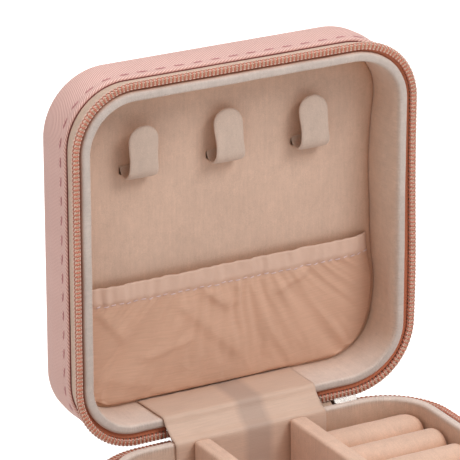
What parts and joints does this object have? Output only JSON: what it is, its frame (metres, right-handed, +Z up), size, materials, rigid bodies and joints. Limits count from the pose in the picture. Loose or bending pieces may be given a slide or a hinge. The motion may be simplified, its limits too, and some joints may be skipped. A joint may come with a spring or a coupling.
{
  "type": "zip-around travel jewellery case",
  "caption": "Square zip-around leather jewellery case: velvet-lined hinged lid with necklace hooks and a gathered pocket, over a base with removable dividers and ring rolls.",
  "frame": {"origin": "middle of the base's underside", "axes": "+X to the right, +Y towards the hinge at the back, +Z up; the lid stands open at 89 degrees at rest"},
  "size_m": [0.1006, 0.1207, 0.1307],
  "materials": {
    "leather": "pale pink coated leather with a fine diagonal cross-hatch grain, satin",
    "board": "grey board, hidden",
    "foam": "soft foam sheet, hidden",
    "velvet": "short-pile grey-beige velvet",
    "peach_velvet": "short-pile peach velvet",
    "satin": "peach taffeta with a soft sheen",
    "zip_tape": "woven tape",
    "zip_coil": "metallised rose-gold coil",
    "elastic": "woven elastic, hidden",
    "slider_metal": "polished nickel-plated zinc"
  },
  "bodies": {
    "base": {"base_cover": "leather", "base_board": "board", "base_lining": "velvet", "base_zip_tape": "zip_tape", "base_zip_coil": "zip_coil", "base_floor_pad": "velvet", "ring_card": "board", "ring_roll_1": "peach_velvet", "ring_roll_2": "peach_velvet", "ring_roll_3": "peach_velvet", "ring_roll_4": "peach_velvet", "ring_roll_5": "peach_velvet", "ring_roll_6": "peach_velvet", "ring_roll_7": "peach_velvet", "hinge_spine": "leather", "hinge_ribbon": "satin"},
    "lid": {"lid_cover": "leather", "lid_board": "board", "lid_lining": "velvet", "lid_zip_tape": "zip_tape", "lid_zip_coil": "zip_coil", "lid_foam_pad": "foam", "lid_panel": "velvet", "necklace_hook_left": "velvet", "necklace_hook_centre": "velvet", "necklace_hook_right": "velvet", "pocket": "satin", "pocket_elastic": "elastic"},
    "divider_left": {"divider_left": "peach_velvet"},
    "divider_right": {"divider_right": "peach_velvet"},
    "zip_tail": {"zip_tail": "zip_coil"},
    "zipper_slider": {"zipper_slider": "slider_metal"},
    "zipper_pull": {"zipper_pull": "slider_metal"}
  },
  "joints": [
    {"name": "lid_hinge", "type": "hinge", "parent": "base", "child": "lid", "pos_m": [0, 0.0504, 0.03], "axis": [-1, 0, 0], "range_deg": [-89, 16], "deforming": ["hinge_spine", "hinge_ribbon"]},
    {"name": "zip_tail_swing", "type": "hinge", "parent": "base", "child": "zip_tail", "pos_m": [0, 0.0481, 0.027], "axis": [-1, 0, 0], "range_deg": [-44.5, 8]},
    {"name": "slider_travel", "type": "slide", "parent": "zip_tail", "child": "zipper_slider", "axis": [1, 0, 0], "range_m": [0, 0.003]},
    {"name": "pull_flip", "type": "hinge", "parent": "zipper_slider", "child": "zipper_pull", "pos_m": [0.031, 0.05313, 0.02627], "axis": [0, -0.7009, -0.7133], "range_deg": [0, 170]},
    {"name": "divider_left_lift", "type": "slide", "parent": "base", "child": "divider_left", "axis": [0, 0, 1], "range_m": [0, 0.028]},
    {"name": "divider_right_lift", "type": "slide", "parent": "base", "child": "divider_right", "axis": [0, 0, 1], "range_m": [0, 0.028]}
  ],
  "couplings": [
    {"joint": "zip_tail_swing", "follows": "lid_hinge", "ratio": 0.5}
  ]
}
